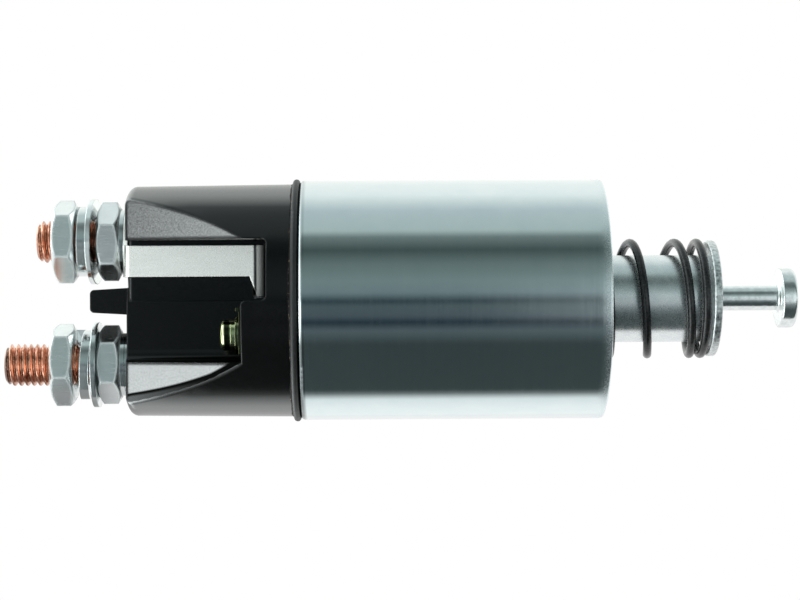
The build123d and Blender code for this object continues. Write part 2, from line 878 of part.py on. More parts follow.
def make_insulating_washer():
    """Washer on the bridge's other side."""
    return tube(insulator_low_x, bridge_low_x, insulator_tube_radius + slip, insulator_flange_radius)


def make_springs():
    """The four springs, each between its own seats."""
    meshing_coil_radius = (plunger_bore_radius + rod_radius) / 2
    seats = {
        "return_spring": (pocket_floor_x, plunger_shoulder_x),
        "meshing_spring": (rod_collar_front_x, bush_inner_x),
        "pressure_spring": (insulator_high_x, shaft_sleeve_low_x),
        "contact_return_spring": (pocket_end_x, clip_low_x),
    }
    coils = {
        "return_spring": (return_coil_radius, return_wire_radius),
        "meshing_spring": (meshing_coil_radius, meshing_wire_radius),
        "pressure_spring": (pressure_coil_radius, pressure_wire_radius),
        "contact_return_spring": (contact_coil_radius, contact_wire_radius),
    }
    turns = {
        "return_spring": (return_turns, return_end_pitch, return_end_turn),
        "meshing_spring": (meshing_turns, meshing_end_pitch),
        "pressure_spring": (pressure_turns, pressure_end_pitch),
        "contact_return_spring": (contact_turns, contact_end_pitch),
    }
    return {name: coil_spring(*seats[name], *coils[name], *turns[name]) for name in seats}


parts = {
    "can": make_can(),
    "guide_sleeve": make_guide_sleeve(),
    "bobbin": make_bobbin(),
    "pull_in_winding": winding(pull_in_bore, pull_in_radius),
    "hold_in_winding": winding(pull_in_radius + slip, hold_in_radius),
    "coil_wrap": winding(hold_in_radius + slip, wrap_radius),
    "pole_plate": make_pole_plate(),
    "fixed_core": make_fixed_core(),
    "pull_in_lead": lead(strip_leg_x, pull_in_lead_yz),
    "switch_lead": lead(relief_floor_x, switch_lead_yz),
    "ground_lead": lead(pole_seat_x - ground_lead_depth, ground_lead_yz),
    "lead_bushings": make_lead_bushings(),
    "gasket": make_gasket(),
    "cap": make_cap(),
    "motor_stud": make_stud(motor_stud_z, motor_stud_reach, outer_nut_xs[0]),
    "battery_stud": make_stud(battery_stud_z, battery_stud_reach, outer_nut_xs[1]),
    "stud_seals": make_stud_seals(),
    "link_strip": make_link_strip(),
    "base_washers": make_base_washers(),
    "inner_nuts": make_inner_nuts(),
    "large_washers": make_large_washers(),
    "lock_washers": make_lock_washers(),
    "outer_nuts": make_outer_nuts(),
    "switch_plate": make_switch_plate(),
    "switch_washer": make_switch_washer(),
    "switch_lock_washer": make_switch_lock_washer(),
    "switch_screw": make_switch_screw(),
    "switch_insert": make_switch_insert(),
    "plunger": make_plunger(),
    "spring_seat": make_spring_seat(),
    "guide_bush": make_guide_bush(),
    "hook_rod": make_hook_rod(),
    "rod_collar": make_rod_collar(),
    "contact_shaft": make_contact_shaft(),
    "shaft_sleeve": tube(shaft_sleeve_low_x, shaft_sleeve_high_x, shaft_radius + slip, shaft_sleeve_radius),
    "shaft_clip": tube(clip_low_x, clip_high_x, shaft_radius - clip_groove_depth + slip, clip_radius),
    "contact_bridge": make_contact_bridge(),
    "bridge_insulator": make_bridge_insulator(),
    "insulating_washer": make_insulating_washer(),
}
parts.update(make_springs())

os.makedirs("parts", exist_ok=True)
for name, shape in parts.items():
    export_step(shape, f"parts/{name}.step")
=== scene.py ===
import bpy
import bmesh
import json
import math
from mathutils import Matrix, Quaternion, Vector


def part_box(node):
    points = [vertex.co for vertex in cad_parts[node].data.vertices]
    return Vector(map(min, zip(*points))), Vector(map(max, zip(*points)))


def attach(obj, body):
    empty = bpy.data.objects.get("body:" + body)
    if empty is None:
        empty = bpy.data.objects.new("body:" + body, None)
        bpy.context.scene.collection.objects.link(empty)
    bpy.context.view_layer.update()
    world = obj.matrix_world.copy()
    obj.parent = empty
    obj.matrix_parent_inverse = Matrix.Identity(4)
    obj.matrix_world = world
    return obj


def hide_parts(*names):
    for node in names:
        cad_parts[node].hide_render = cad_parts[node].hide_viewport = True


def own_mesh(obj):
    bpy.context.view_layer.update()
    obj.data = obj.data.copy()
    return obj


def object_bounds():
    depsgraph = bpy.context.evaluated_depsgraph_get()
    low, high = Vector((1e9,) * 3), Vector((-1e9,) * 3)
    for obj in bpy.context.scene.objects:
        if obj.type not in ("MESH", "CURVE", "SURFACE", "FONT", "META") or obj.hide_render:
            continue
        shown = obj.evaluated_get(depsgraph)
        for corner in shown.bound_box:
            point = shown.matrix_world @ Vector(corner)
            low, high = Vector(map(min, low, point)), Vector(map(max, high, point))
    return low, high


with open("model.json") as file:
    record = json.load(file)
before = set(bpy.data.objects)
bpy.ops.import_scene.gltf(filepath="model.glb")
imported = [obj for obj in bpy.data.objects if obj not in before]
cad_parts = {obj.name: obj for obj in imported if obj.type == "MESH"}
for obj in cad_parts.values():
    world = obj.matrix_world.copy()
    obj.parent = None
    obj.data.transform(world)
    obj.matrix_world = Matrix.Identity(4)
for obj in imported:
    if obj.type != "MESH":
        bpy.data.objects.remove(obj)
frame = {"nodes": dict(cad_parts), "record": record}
cad_low, cad_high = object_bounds()

# Lengths are in metres unless a name says mm. X runs along the plunger, outward; Z is up.
MM = 0.001

# Camera: a pinhole level with the plunger's axis, nearly square to it
PHOTO_WIDTH_PX = 800
FOCAL_PX = 2000
SENSOR_WIDTH_MM = 36.0
CAMERA_DISTANCE = 0.470
CAMERA_TARGET = Vector((-0.047, 0.0, -0.00003))
CAMERA_YAW_DEG = 0.8
CAMERA_ROLL_DEG = -0.3
CAMERA_CLIP_START = 0.01

# Studio: a glowing white sheet under and behind the object. Near a point beneath the studs it
# glows less: least within the core, and fully again at the reach.
FLOOR_GAP = 0.0002
FLOOR_FRONT_Y = -0.006
FLOOR_SIZE = 3.0
FLOOR_GLOW = 0.92
SHADOW_CENTRE = Vector((-0.129, 0.000, -0.0285))
SHADOW_CORE = 0.010
SHADOW_REACH = 0.022
SHADOW_GLOW = 0.30

# Room brightness round the plunger's axis: degrees upward from the camera's side, and colour
HALF_TURN_DEG = 180
ROOM_STOPS = (
    (-180, (1.00, 1.05, 1.00)),
    (-125, (0.90, 0.93, 0.93)),
    (-110, (0.78, 0.83, 0.83)),
    (-101, (0.16, 0.18, 0.18)),
    (-96, (0.040, 0.055, 0.055)),
    (-42, (0.035, 0.049, 0.050)),
    (-29, (0.082, 0.110, 0.120)),
    (-21, (0.012, 0.024, 0.034)),
    (-15, (0.062, 0.086, 0.100)),
    (-6, (0.066, 0.094, 0.100)),
    (-1, (0.022, 0.040, 0.050)),
    (7, (0.150, 0.205, 0.215)),
    (18, (0.165, 0.225, 0.225)),
    (34, (0.125, 0.170, 0.165)),
    (48, (0.050, 0.075, 0.073)),
    (62, (0.150, 0.195, 0.190)),
    (69, (0.400, 0.490, 0.480)),
    (95, (0.470, 0.555, 0.570)),
    (120, (0.850, 0.910, 0.890)),
    (180, (1.02, 1.04, 1.00)),
)

# Lamps added to the room. Each is its glow times the product of brightness by the X part of the
# direction and brightness by degrees round the plunger's axis.
LEFT_LAMP_ALONG = (
    (-1.00, 0.15),
    (-0.88, 0.20),
    (-0.82, 1.00),
    (-0.62, 1.00),
    (-0.50, 0.30),
    (-0.16, 0.08),
    (-0.13, 0.00),
)
LEFT_LAMP_ROUND = ((-180, 1.00), (-3, 1.00), (3, 0.46), (180, 0.46))
LEFT_LAMP_GLOW = 4.0
RIGHT_LAMP_ALONG = (
    (0.05, 0.00),
    (0.10, 0.08),
    (0.145, 0.14),
    (0.172, 0.90),
    (0.21, 1.00),
    (1.00, 0.90),
)
RIGHT_LAMP_ROUND = (
    (-180, 0.10),
    (-90, 0.03),
    (-45, 0.03),
    (-26, 0.20),
    (-14, 1.00),
    (6, 1.00),
    (24, 0.28),
    (42, 0.06),
    (180, 0.10),
)
RIGHT_LAMP_GLOW = 0.85
LAMPS = (
    (LEFT_LAMP_ALONG, LEFT_LAMP_ROUND, LEFT_LAMP_GLOW),
    (RIGHT_LAMP_ALONG, RIGHT_LAMP_ROUND, RIGHT_LAMP_GLOW),
)
LAMP_COLOUR = (0.94, 1.0, 1.0)

# Studs: thread, bevelled tip, and square head with rounded corners
STUD_PITCH = 1.5 * MM
STUD_RADIUS = 5.0 * MM
STUD_CREST_GAP = 0.08 * MM
STUD_THREAD_DEPTH = 0.85 * MM
STUD_TIP_BEVEL = 1.0 * MM
STUD_HEAD_THICKNESS = 4.0 * MM
STUD_HEAD_CORNER = 1.0 * MM
STUD_CORNER_STEPS = 4
STUD_SHARP_EDGE_DEG = 35
THREAD_COLUMNS = 72
THREAD_ROWS_PER_PITCH = 12

# Springs: wire radius and end pitch in mm, turns, and the angle of the last end in turns
SPRING_RING_POINTS = 14
SPRING_POINTS_PER_TURN = 48
SPRINGS = {
    "return_spring": (1.0, 1.0, 5.2, 3.75),
    "meshing_spring": (0.75, 1.1, 5.5, 0.0),
    "pressure_spring": (0.45, 0.75, 5.0, 0.0),
    "contact_return_spring": (0.30, 0.5, 4.0, 0.0),
}

# Return spring: turns from its end at the spring seat, and how far each is from there in mm.
# Its middle leans, so that the tops of its turns lie nearer the seat.
RETURN_STEPS = (
    (0.0, 0.0),
    (0.25, 0.25),
    (0.75, 1.15),
    (1.25, 2.7),
    (1.75, 6.6),
    (2.25, 12.2),
    (2.75, 17.2),
    (3.25, 21.2),
    (3.75, 24.2),
    (4.2, 26.6),
    (5.2, 29.7),
)
RETURN_LEAN_MM = 0.5

# Varnish bead beside the gasket: points round it, its room over the cap, and its least and greatest
# width. A row has a share of that width and a height; a wave has a count, a phase and a size.
BEAD_POINTS = 220
BEAD_GAP_MM = 0.02
BEAD_WIDTH_MM = (0.05, 0.55)
BEAD_ROWS = ((0.0, 0.10), (0.4, 0.08), (1.0, 0.0))
BEAD_WAVES = ((5, 1.0, 0.22), (13, 0.0, 0.16), (37, 0.0, 0.12))

# Finishes. Where a heading names a change of the surface, its pair is where that starts and ends.

# Noise: values between which most of it lies
NOISE_START = 0.3
NOISE_END = 0.7

# Zinc: the lighter tone on most pieces
LIGHT_ZINC = (0.88, 0.92, 0.92)

# Can: change to its rougher front edge, least and most roughness there, and change from its rolled
# rim, as reach beyond the gasket. The rim has painted shade: full low down, and in part high up.
CAN_FRONT_X = (-2.8 * MM, -0.6 * MM)
CAN_FRONT_ROUGHNESS = (0.22, 0.42)
CAN_RIM_REACH = (0.8 * MM, 1.7 * MM)
CAN_RIM_LOW_Z = (-10.0 * MM, -4.0 * MM)
CAN_RIM_HIGH_Z = (6.0 * MM, 10.0 * MM)
CAN_RIM_HIGH_SHARE = 0.45
CAN_RIM_SHADE_COLOUR = (0.10, 0.11, 0.11)

# Nuts: width of the pale edges, which are a painted highlight, how metallic they are, and change from
# edge to flat, as cosines of the angle between the face and the rounded edge
NUT_EDGE_MM = 1.0
NUT_EDGE_METALLIC = 0.15
NUT_EDGE_COSINES = (0.975, 0.995)

# Battery stud: change to its darker greyish-brown tip, as depth from the end, and the tip's colour
DARK_TIP_DEPTH = (0.7 * MM, 1.2 * MM)
DARK_TIP_COPPER = (0.30, 0.19, 0.15)

# Cap: refractive index of its skin in front and at the sides, where it is raised as a painted sheen,
# and heights where one turns into the other, above and below the middle
SKIN_IOR = 1.5
SIDE_IOR = 2.7
SIDE_HEIGHTS = (0.0212, 0.0242)

# Facets of the cap: slope, change to a facet's skin, as cosines of the angle to that slope, refractive
# index raised as a painted highlight and its speckle, a low index for painted shade on the bevelled
# edges, and change from lower to upper facet
FACET_SLOPE_DEG = 21.5
FACET_COSINES = (0.990, 0.997)
FACET_IOR = 2.25
FACET_SPECKLE = 0.34
FACET_EDGE_SHADE_IOR = 1.05
FACET_EDGE_MM = 1.3
FACET_MIDDLE_Z = (-1.0 * MM, 1.0 * MM)

# Upper facet: how much lower its refractive index is at the left, as painted shade, and X where that
# fades
UPPER_FACET_SHADE = 0.34
UPPER_FACET_SHADE_X = (-0.1085, -0.0850)

# Lower facet: how much higher its refractive index is, as a painted highlight, how far inside the cap's
# radius it ends at the left and at the right, X of both, change at that end, and change from the line
# of painted shade past it
LOWER_FACET_HIGHLIGHT = 0.24
LOWER_FACET_ROUNDING = (2.6 * MM, 1.2 * MM)
LOWER_FACET_ROUNDING_X = (-0.1085, -0.0900)
LOWER_FACET_END = (-0.15 * MM, 0.15 * MM)
LOWER_FACET_LINE = (0.35 * MM, 0.75 * MM)

# Strip: how much its face leans, as a slope, and X of its bend, past which it is not metallic as a
# painted highlight. Painted shade at the crease fades in over one width before the bend and out over
# the other before the bend's end. A painted shade follows beyond it.
STRIP_LEAN = 0.12
STRIP_BEND_X = (-0.0806, -0.0800)
STRIP_CREASE_FADES = (0.25 * MM, 0.35 * MM)
STRIP_END_SHADE = (1.1 * MM, 1.7 * MM)
STRIP_SHADE_COLOUR = (0.06, 0.06, 0.06)

# Switch terminal: part of the noise in which its bands turn from painted shade to the other hue
SHADE_BAND_NOISE = (0.42, 0.56)

# Windings: distance from turn to turn
WINDING_PITCH = 1.0 * MM

# Varnish: part of the noise in which dark turns to brown
VARNISH_NOISE = (0.58, 0.72)

# Nodes whose surface differs from the rest of their material slot
OWN_LOOKS = {
    "inner_nuts": "nuts",
    "outer_nuts": "nuts",
    "spring_seat": "seat",
    "switch_plate": "plate",
}

# Mix node: sockets of its factor, first value, second value and result, by kind of value
MIX_SOCKETS = {"FLOAT": (0, 2, 3, 0), "RGBA": (0, 6, 7, 2)}


class Tree:
    """A node tree, with short calls to add and join nodes."""

    def __init__(self, tree):
        self.tree = tree

    def set(self, node, socket, value):
        """Gives an input a number, a colour, a vector or another node's output."""
        target = node.inputs[socket]
        if isinstance(value, bpy.types.NodeSocket):
            self.tree.links.new(value, target)
        elif target.type == "RGBA":
            target.default_value = (*value, 1.0)
        else:
            target.default_value = value

    def add(self, kind, settings=None, **inputs):
        """Adds a node. Underscores in an input's name stand for spaces."""
        node = self.tree.nodes.new(kind)
        for key, value in (settings or {}).items():
            setattr(node, key, value)
        for key, value in inputs.items():
            self.set(node, key.replace("_", " "), value)
        return node

    def feed(self, kind, values, **settings):
        """Adds a node, and sets its inputs in their order."""
        node = self.add(kind, settings)
        for index, value in enumerate(values):
            self.set(node, index, value)
        return node

    def sum(self, operation, *values):
        """The result of a sum on numbers or other nodes' outputs."""
        return self.feed("ShaderNodeMath", values, operation=operation).outputs[0]

    def measure(self, operation, *vectors):
        """A number worked out from one vector or two."""
        return self.feed("ShaderNodeVectorMath", vectors, operation=operation).outputs["Value"]

    def between(self, value, low, high, start=NOISE_START, end=NOISE_END):
        """A number that goes from low to high while the value goes from start to end."""
        settings = dict(Value=value, From_Min=start, From_Max=end, To_Min=low, To_Max=high)
        return self.add("ShaderNodeMapRange", **settings).outputs[0]

    def rise(self, value, start=NOISE_START, end=NOISE_END):
        """A number that goes from 0 to 1 while the value goes from start to end."""
        return self.between(value, 0.0, 1.0, start, end)

    def fall(self, value, start, end):
        """A number that goes from 1 to 0 while the value goes from start to end."""
        return self.between(value, 1.0, 0.0, start, end)

    def mix(self, kind, *values):
        """The result of a Mix node from its factor and two values."""
        node = self.add("ShaderNodeMix", {"data_type": kind})
        *sockets, result = MIX_SOCKETS[kind]
        for socket, value in zip(sockets, values):
            self.set(node, socket, value)
        return node.outputs[result]

    def blend(self, factor, first, second):
        """A number between two others."""
        return self.mix("FLOAT", factor, first, second)

    def tint(self, factor, first, second):
        """A colour between two others."""
        return self.mix("RGBA", factor, first, second)

    def ramp(self, factor, stops, start, end):
        """A colour or brightness by stops. The factor is 0 at the start and 1 at the end."""
        node = self.add("ShaderNodeValToRGB", Fac=factor)
        elements = node.color_ramp.elements
        while len(elements) < len(stops):
            elements.new(0.5)
        for element, (place, light) in zip(elements, stops):
            colour = light if isinstance(light, tuple) else (light, light, light)
            element.position = (place - start) / (end - start)
            element.color = (*colour, 1.0)
        return node.outputs[0]

    def white_to_camera(self, glow, white):
        """A surface that the camera sees as white, and that glows for all else."""
        seen = self.add("ShaderNodeLightPath").outputs["Is Camera Ray"]
        return self.feed("ShaderNodeMixShader", (seen, glow, white)).outputs[0]


class Shader(Tree):
    """A material with a principled surface."""

    def __init__(self, name):
        self.material = bpy.data.materials.new(name)
        self.material.use_nodes = True
        super().__init__(self.material.node_tree)
        self.surface = self.tree.nodes["Principled BSDF"]
        self.place = self.add("ShaderNodeTexCoord").outputs["Object"]
        split = self.add("ShaderNodeSeparateXYZ", Vector=self.place)
        self.x, self.y, self.z = split.outputs

    def look(self, **inputs):
        """Sets inputs of the surface."""
        for key, value in inputs.items():
            self.set(self.surface, key.replace("_", " "), value)

    def source(self, name):
        """The output that an input of the surface is joined to."""
        return self.surface.inputs[name].links[0].from_socket

    def grain(self, scale, detail=3.0, distortion=0.0):
        """Noise with so many features per metre, or so many along each of X, Y and Z."""
        along = scale if isinstance(scale, tuple) else (scale, scale, scale)
        stretched = self.add("ShaderNodeMapping", Vector=self.place, Scale=along)
        noise = self.add(
            "ShaderNodeTexNoise",
            Vector=stretched.outputs[0],
            Scale=1.0,
            Detail=detail,
            Roughness=0.6,
            Distortion=distortion,
        )
        return noise.outputs["Fac"]

    def relief(self, height, depth_mm, normal=None):
        """A bump of the height field, in millimetres, on the surface or on another normal."""
        node = self.add("ShaderNodeBump", Height=height, Distance=depth_mm * MM, Strength=1.0)
        if normal is not None:
            self.set(node, "Normal", normal)
        return node.outputs[0]

    def flat(self):
        """The normal of the faces themselves."""
        return self.add("ShaderNodeNewGeometry").outputs["True Normal"]

    def soft_edges(self, radius_mm):
        """A normal that rounds sharp edges."""
        return self.add("ShaderNodeBevel", {"samples": 6}, Radius=radius_mm * MM).outputs[0]


def zinc(name, light, dark, grain, roughness, edge_mm=0.12, bump_mm=0.004, mottle=180):
    """Metal with a turned or brushed grain and cloudy variation."""
    s = Shader(name)
    streaks = s.grain(grain, detail=4.0)
    clouds = s.grain(mottle, detail=2.0)
    s.look(
        Metallic=1.0,
        Base_Color=s.tint(s.rise(clouds), dark, light),
        Roughness=s.between(streaks, *roughness),
        Normal=s.relief(streaks, bump_mm, s.soft_edges(edge_mm)),
    )
    return s


def can_zinc():
    """Drawn and polished zinc shell, rougher at its front edge, painted shade on its rolled rear rim.
    """
    s = zinc(
        "zinc_can",
        light=(0.86, 0.92, 0.93),
        dark=(0.82, 0.89, 0.91),
        grain=(3200, 60, 60),
        roughness=(0.07, 0.13),
        edge_mm=0.35,
        bump_mm=0.0015,
    )
    front = s.rise(s.x, *CAN_FRONT_X)
    pits = s.between(s.grain(2600), *CAN_FRONT_ROUGHNESS)
    _, gasket_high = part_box("gasket")
    # Painted shade: the rolled rear rim turns dark, fully low down and in part high up.
    rim = s.fall(s.x, *(gasket_high.x + reach for reach in CAN_RIM_REACH))
    below = s.fall(s.z, *CAN_RIM_LOW_Z)
    above = s.between(s.z, 0.0, CAN_RIM_HIGH_SHARE, *CAN_RIM_HIGH_Z)
    painted_shade = s.sum("MULTIPLY", rim, s.sum("MAXIMUM", below, above))
    s.look(
        Base_Color=s.tint(painted_shade, s.source("Base Color"), CAN_RIM_SHADE_COLOUR),
        Roughness=s.blend(front, s.source("Roughness"), pits),
    )
    return s


def hardware_zinc():
    """Bright zinc on washers."""
    return zinc(
        "zinc_hardware",
        light=LIGHT_ZINC,
        dark=(0.76, 0.80, 0.80),
        grain=1800,
        roughness=(0.07, 0.15),
        edge_mm=0.3,
        bump_mm=0.002,
    )


def nut_zinc():
    """Zinc on the nuts: brushed flats, and edges made pale and less metallic as a painted highlight."""
    s = zinc(
        "zinc_nuts",
        light=LIGHT_ZINC,
        dark=(0.80, 0.84, 0.84),
        grain=(260, 2600, 2600),
        roughness=(0.23, 0.28),
        edge_mm=0.45,
        bump_mm=0.0004,
    )
    # Painted highlight: the rounded edges turn less metallic, so that they show pale.
    bend = s.measure("DOT_PRODUCT", s.flat(), s.soft_edges(NUT_EDGE_MM))
    s.look(Metallic=s.between(bend, NUT_EDGE_METALLIC, 1.0, *NUT_EDGE_COSINES))
    return s


def plunger_zinc():
    """Satin zinc on the plunger."""
    return zinc(
        "zinc_plunger",
        light=(0.86, 0.90, 0.90),
        dark=(0.76, 0.81, 0.83),
        grain=1500,
        roughness=(0.24, 0.32),
        edge_mm=0.3,
        bump_mm=0.0012,
        mottle=400,
    )


def seat_zinc():
    """Rough, blotchy zinc on the spring seat."""
    return zinc(
        "zinc_seat",
        light=LIGHT_ZINC,
        dark=(0.40, 0.43, 0.43),
        grain=1300,
        roughness=(0.24, 0.50),
        edge_mm=0.4,
        bump_mm=0.12,
        mottle=1300,
    )


def rod_zinc():
    """Slightly pitted zinc on the hook rod."""
    return zinc(
        "zinc_rod",
        light=LIGHT_ZINC,
        dark=(0.74, 0.78, 0.78),
        grain=1900,
        roughness=(0.12, 0.22),
        edge_mm=0.5,
        bump_mm=0.010,
        mottle=700,
    )


def core_steel():
    """Turned bare steel."""
    return zinc(
        "steel_turned",
        light=(0.58, 0.58, 0.58),
        dark=(0.46, 0.46, 0.46),
        grain=(3800, 80, 80),
        roughness=(0.22, 0.38),
    )


def copper():
    """Bare copper with faint tarnish, and a darker greyish-brown tip on the battery stud."""
    s = Shader("copper_bare")
    clouds = s.grain(350, detail=4.0)
    scratches = s.grain((5000, 900, 900), detail=2.0)
    low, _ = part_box("battery_stud")
    dark_tip = s.fall(s.x, *(low.x + depth for depth in DARK_TIP_DEPTH))
    bare = s.tint(s.rise(clouds), (0.40, 0.16, 0.09), (0.92, 0.52, 0.38))
    s.look(
        Metallic=1.0,
        Base_Color=s.tint(dark_tip, bare, DARK_TIP_COPPER),
        Roughness=s.between(scratches, 0.12, 0.26),
        Normal=s.relief(scratches, 0.003, s.soft_edges(0.1)),
    )
    return s


def facet_mask(s, normal):
    """How nearly a normal faces as the cap's facets do, from 0 to 1."""
    slope = math.radians(FACET_SLOPE_DEG)
    facing = (-math.sin(slope), -math.cos(slope), 0.0)
    return s.rise(s.measure("DOT_PRODUCT", normal, facing), *FACET_COSINES)


def facet_skin(s, specks, upper):
    """Refractive index on the facets: painted shade at the upper one's left, painted highlight on the
    lower.
    """
    speckled_highlight = s.between(specks, FACET_IOR - FACET_SPECKLE, FACET_IOR + FACET_SPECKLE)
    # Painted shade: the upper facet's index is lowered towards its left.
    painted_shade = s.sum("MULTIPLY", upper, s.fall(s.x, *UPPER_FACET_SHADE_X))
    left_shaded_index = s.sum("SUBTRACT", speckled_highlight, s.sum("MULTIPLY", painted_shade, UPPER_FACET_SHADE))
    lower = s.sum("SUBTRACT", 1.0, upper)
    return s.sum("ADD", left_shaded_index, s.sum("MULTIPLY", lower, LOWER_FACET_HIGHLIGHT))


def lower_facet_end(s):
    """How much a point is inside the lower facet's end, and the low refractive index past it: painted
    shade.
    """
    across = s.add("ShaderNodeCombineXYZ", Y=s.y, Z=s.z)
    from_axis = s.measure("LENGTH", across.outputs[0])
    _, cap_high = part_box("cap")
    rounding = s.between(s.x, *LOWER_FACET_ROUNDING, *LOWER_FACET_ROUNDING_X)
    beyond = s.sum("SUBTRACT", s.sum("ADD", from_axis, rounding), cap_high.z)
    inside = s.fall(beyond, *LOWER_FACET_END)
    outer = s.between(s.x, SKIN_IOR, FACET_EDGE_SHADE_IOR, *LOWER_FACET_ROUNDING_X)
    return inside, s.between(beyond, FACET_EDGE_SHADE_IOR, outer, *LOWER_FACET_LINE)


def black_moulding():
    """Glossy black phenolic, finely speckled; painted sheen at the sides, painted highlight and shade
    on facets.
    """
    s = Shader("phenolic_black")
    clouds = s.grain(500)
    specks = s.grain(4200, detail=2.0)
    # Painted sheen: the refractive index rises towards the top and bottom of the cap.
    side = s.between(s.sum("ABSOLUTE", s.z), SKIN_IOR, SIDE_IOR, *SIDE_HEIGHTS)
    upper = s.rise(s.z, *FACET_MIDDLE_Z)
    inside, past_end = lower_facet_end(s)
    # Painted shade: near the facets' edges the refractive index falls low, so the edges show dark.
    off_edge = facet_mask(s, s.soft_edges(FACET_EDGE_MM))
    middle = s.sum("MINIMUM", off_edge, s.sum("MAXIMUM", inside, upper))
    facet = s.blend(middle, past_end, facet_skin(s, specks, upper))
    s.look(
        Base_Color=s.tint(s.rise(clouds), (0.0012, 0.0012, 0.0013), (0.0024, 0.0024, 0.0025)),
        Roughness=s.between(specks, 0.13, 0.24),
        Normal=s.relief(specks, 0.0060, s.soft_edges(0.45)),
        IOR=s.blend(facet_mask(s, s.flat()), side, facet),
    )
    return s


def tinned_strip():
    """Tinned sheet, fine matte grain, face leaning a little; painted shade at crease and end, highlight
    past bend.
    """
    s = Shader("tin_matte")
    crystals = s.grain(3200)
    rolled = s.grain((150, 900, 900))
    lean = s.sum("MULTIPLY", s.x, STRIP_LEAN / MM)
    start, end = STRIP_BEND_X
    before, after = STRIP_CREASE_FADES
    # Painted shade at the crease and beyond the bend; the bend, not metallic, is a painted highlight.
    crease_shade = s.sum("MINIMUM", s.rise(s.x, start - before, start), s.fall(s.x, end - after, end))
    shade = s.sum("MAXIMUM", crease_shade, s.rise(s.x, *(end + reach for reach in STRIP_END_SHADE)))
    tin = s.tint(s.rise(rolled), (0.90, 0.885, 0.845), (0.96, 0.945, 0.905))
    s.look(
        Metallic=s.fall(s.x, start, end),
        Base_Color=s.tint(shade, tin, STRIP_SHADE_COLOUR),
        Roughness=s.between(crystals, 0.24, 0.34),
        Normal=s.relief(crystals, 0.0035, s.relief(lean, 1.0, s.soft_edges(0.25))),
    )
    return s


def chromate(name, first, second):
    """Zinc with a chromate film, in bands across X from a darker colour, a painted shade, to another.
    """
    s = Shader(name)
    film = s.grain(700)
    # Painted shade: bands across X turn the colour from the second to the darker first.
    shade_bands = s.grain((1100, 60, 60), detail=1.0)
    s.look(
        Metallic=1.0,
        Base_Color=s.tint(s.rise(shade_bands, *SHADE_BAND_NOISE), first, second),
        Roughness=s.between(film, 0.09, 0.18),
        Normal=s.relief(s.grain(4000), 0.004, s.soft_edges(0.12)),
    )
    return s


def yellow_zinc():
    """Yellow-green film on the switch screw and its washers, with bands of near-black painted shade."""
    return chromate("zinc_yellow", (0.05, 0.06, 0.03), (0.80, 0.86, 0.48))


def olive_zinc():
    """Olive zinc on the switch plate, darkened nearly to black as painted shade."""
    return chromate("zinc_olive", (0.08, 0.08, 0.03), (0.16, 0.17, 0.09))


def winding_wire():
    """Enamelled copper wire, with turns laid side by side along X."""
    s = Shader("wire_enamelled")
    turns = s.sum("SINE", s.sum("MULTIPLY", s.x, 2 * math.pi / WINDING_PITCH))
    clouds = s.grain(400)
    s.look(
        Metallic=0.8,
        Base_Color=s.tint(s.rise(clouds), (0.30, 0.09, 0.03), (0.45, 0.17, 0.06)),
        Roughness=s.between(clouds, 0.22, 0.34),
        Normal=s.relief(turns, 0.25),
    )
    return s


def plain(name, dark, light, roughness, bump_mm=0.01, grain=1800, detail=4.0, metallic=0.0):
    """A surface whose colour, gloss and relief follow one grain."""
    s = Shader(name)
    fine = s.grain(grain, detail=detail)
    s.look(
        Metallic=metallic,
        Base_Color=s.tint(s.rise(fine), dark, light),
        Roughness=s.between(fine, *roughness),
        Normal=s.relief(fine, bump_mm),
    )
    return s


def rubber():
    """Matte black rubber with moulding dust."""
    dark, light = (0.010, 0.010, 0.010), (0.030, 0.030, 0.030)
    return plain("rubber_black", dark, light, (0.42, 0.60), grain=2500, detail=3.0)


def spring_wire():
    """Black oxide on drawn wire."""
    dark, light = (0.020, 0.020, 0.021), (0.055, 0.055, 0.055)
    return plain("oxide_black", dark, light, (0.20, 0.30), bump_mm=0.006, grain=1500, metallic=0.6)


def brass():
    """Turned brass."""
    return plain(
        "brass_turned",
        dark=(0.70, 0.50, 0.22),
        light=(0.86, 0.68, 0.36),
        roughness=(0.22, 0.34),
        bump_mm=0.004,
        grain=(3500, 200, 200),
        detail=2.0,
        metallic=1.0,
    )


def nylon():
    """Natural nylon of the bobbin."""
    return plain("nylon_natural", (0.60, 0.57, 0.48), (0.74, 0.71, 0.62), (0.40, 0.55))


def woven_tape():
    """Coarse insulating tape round the windings."""
    return plain("tape_woven", (0.42, 0.31, 0.15), (0.60, 0.47, 0.26), (0.60, 0.80), bump_mm=0.03)


def brown_phenolic():
    """Brown moulding of the insulators."""
    return plain("phenolic_brown", (0.10, 0.035, 0.015), (0.20, 0.08, 0.035), (0.30, 0.45))


def varnish():
    """Dried brown varnish that crept out beside the gasket."""
    s = Shader("varnish_brown")
    blots = s.grain(1500, detail=4.0, distortion=1.0)
    s.look(
        Base_Color=s.tint(s.rise(blots, *VARNISH_NOISE), (0.004, 0.004, 0.004), (0.30, 0.20, 0.13)),
        Roughness=s.between(blots, 0.35, 0.65),
        Specular_IOR_Level=0.12,
        Normal=s.relief(blots, 0.05),
    )
    return s


